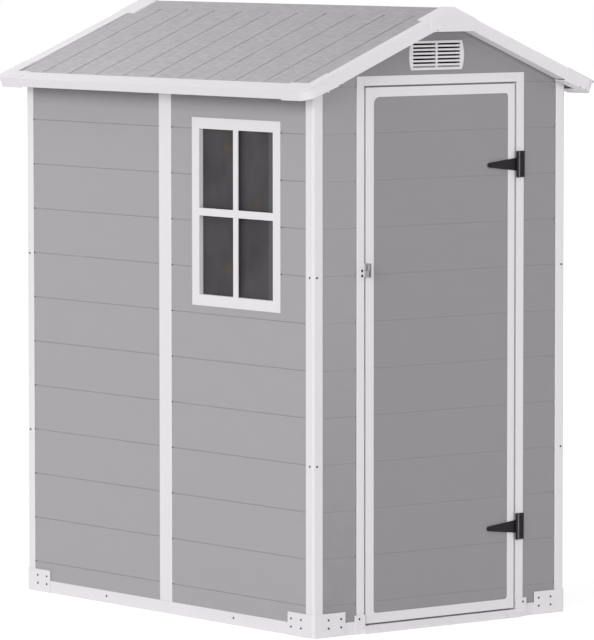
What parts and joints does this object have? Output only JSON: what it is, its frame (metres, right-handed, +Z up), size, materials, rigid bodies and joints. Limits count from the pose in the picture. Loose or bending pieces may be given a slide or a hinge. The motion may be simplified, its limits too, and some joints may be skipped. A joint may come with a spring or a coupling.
{
  "type": "plastic garden shed",
  "caption": "Small resin garden shed with board-pattern grey panels, white posts and trims, pitched roof, one hinged door and a fixed side window.",
  "frame": {"origin": "on the ground, under the middle of the shed's overall box", "axes": "+Z up, -Y out of the door side, +X to the right as one faces the door"},
  "size_m": [1.2006, 1.651, 1.9554],
  "materials": {
    "white_trim": "satin moulded resin, white",
    "grey_panel": "fine wood-grain moulded resin, mid grey",
    "grey_roof": "fine wood-grain moulded resin, light grey",
    "dark_grey_plastic": "moulded resin, dark grey",
    "black_metal": "black powder coat",
    "zinc_metal": "dull zinc plate",
    "window_pane": "clear plastic sheet"
  },
  "bodies": {
    "shed": {"floor_panels": "dark_grey_plastic", "base_rails": "white_trim", "door_sill": "white_trim", "corner_post_front_left": "white_trim", "corner_post_front_right": "white_trim", "corner_post_rear_left": "white_trim", "corner_post_rear_right": "white_trim", "mid_post_left": "white_trim", "mid_post_right": "white_trim", "mid_post_rear": "white_trim", "base_brackets": "white_trim", "wall_left_front": "grey_panel", "wall_left_rear": "grey_panel", "wall_right_front": "grey_panel", "wall_right_rear": "grey_panel", "wall_rear_left": "grey_panel", "wall_rear_right": "grey_panel", "gable_rear": "grey_panel", "wall_front_left": "grey_panel", "wall_front_right": "grey_panel", "gable_front": "grey_panel", "gable_vent": "white_trim", "window_frame": "white_trim", "window_glass": "window_pane", "door_jamb_left": "white_trim", "door_jamb_right": "white_trim", "door_head": "white_trim", "jamb_feet": "white_trim", "hinge_plates": "black_metal", "lock_eye_jamb": "zinc_metal", "roof_panel_left": "grey_roof", "roof_panel_right": "grey_roof", "ridge_cap": "grey_roof", "ridge_beam": "dark_grey_plastic", "eave_trims": "white_trim", "rake_trims_front": "white_trim", "rake_trims_rear": "white_trim", "apex_caps": "white_trim", "eave_corner_caps": "white_trim"},
    "door": {"door_panel": "grey_panel", "door_stile_left": "white_trim", "door_stile_right": "white_trim", "door_rail_top": "white_trim", "door_rail_bottom": "white_trim", "hinge_straps": "black_metal", "lock_eye_door": "zinc_metal"}
  },
  "joints": [
    {"name": "door_hinge", "type": "hinge", "parent": "shed", "child": "door", "pos_m": [0.312, -0.7705, 0.869], "axis": [0, 0, 1], "range_deg": [0, 110]}
  ]
}
